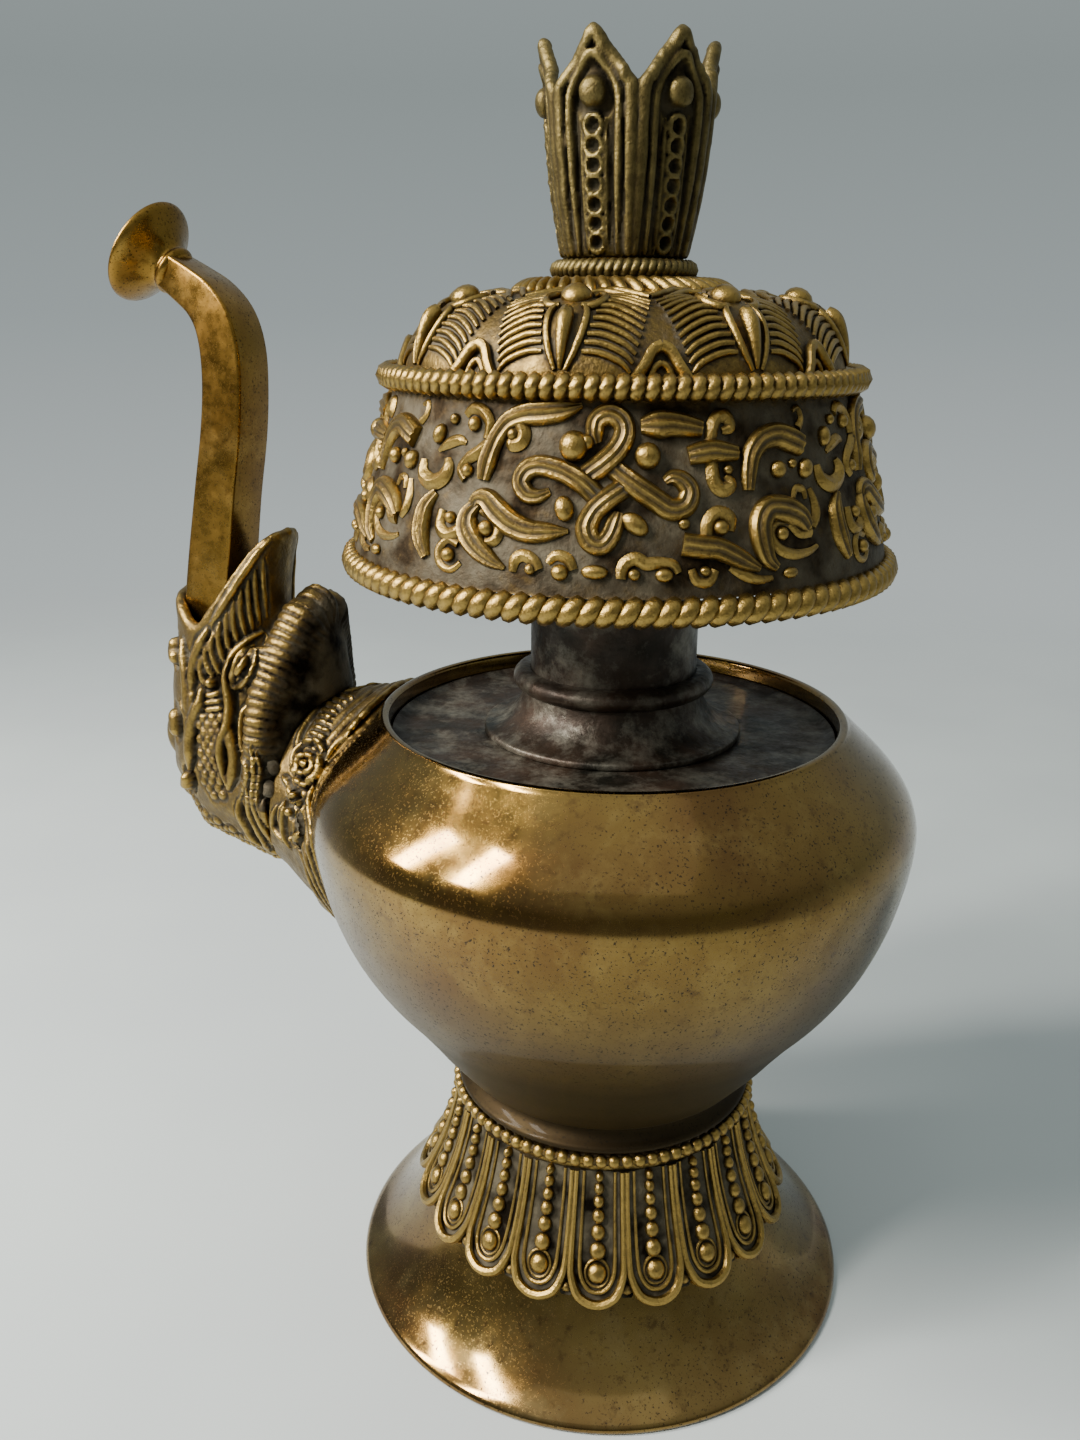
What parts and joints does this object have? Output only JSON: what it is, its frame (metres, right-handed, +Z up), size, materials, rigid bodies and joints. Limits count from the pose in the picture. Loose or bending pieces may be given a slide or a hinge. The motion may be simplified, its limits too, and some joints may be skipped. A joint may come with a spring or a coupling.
{
  "type": "ritual water ewer",
  "caption": "Himalayan spouted ritual ewer in brass: round belly on a flared lotus foot, canopied neck, lift-out crown and a square pouring tube held by a dragon head.",
  "frame": {"origin": "middle of the object's footprint box, on the surface that the foot stands on; the vessel's own axis stands 25.9 mm towards +X of it", "axes": "+Z up along the vessel's axis; the dragon head and pouring tube point along -X"},
  "size_m": [0.1796, 0.1278, 0.262],
  "materials": {
    "polished_brass": "raised sheet, polished, browned with handling",
    "cast_brass": "cast and chased, bright on the high points and dark in the recesses",
    "dull_bronze": "cast, dull olive brown",
    "dark_patina": "near-black patina with a low sheen"
  },
  "bodies": {
    "vessel": {"foot_pedestal": "polished_brass", "foot_lotus_collar": "cast_brass", "foot_bead_ring": "cast_brass", "belly_bowl": "polished_brass", "belly_shoulder": "polished_brass", "shoulder_plate": "dark_patina", "neck_flange": "dark_patina", "neck_ring": "dark_patina", "neck_tube": "dark_patina", "mouth_socket": "dark_patina", "canopy_lower_rope": "cast_brass", "canopy_band": "cast_brass", "canopy_upper_rope": "cast_brass", "canopy_dome": "cast_brass", "dome_collar_rope": "cast_brass", "spout_cuff": "cast_brass", "dragon_head": "cast_brass", "spout_tube": "polished_brass", "spout_mouth": "polished_brass"},
    "crown_stopper": {"crown_tenon": "dull_bronze", "crown_rope_ring": "dull_bronze", "crown_cup": "dull_bronze"}
  },
  "joints": [
    {"name": "crown_lift", "type": "slide", "parent": "vessel", "child": "crown_stopper", "axis": [0, 0, 1], "range_m": [0, 0.04]}
  ]
}
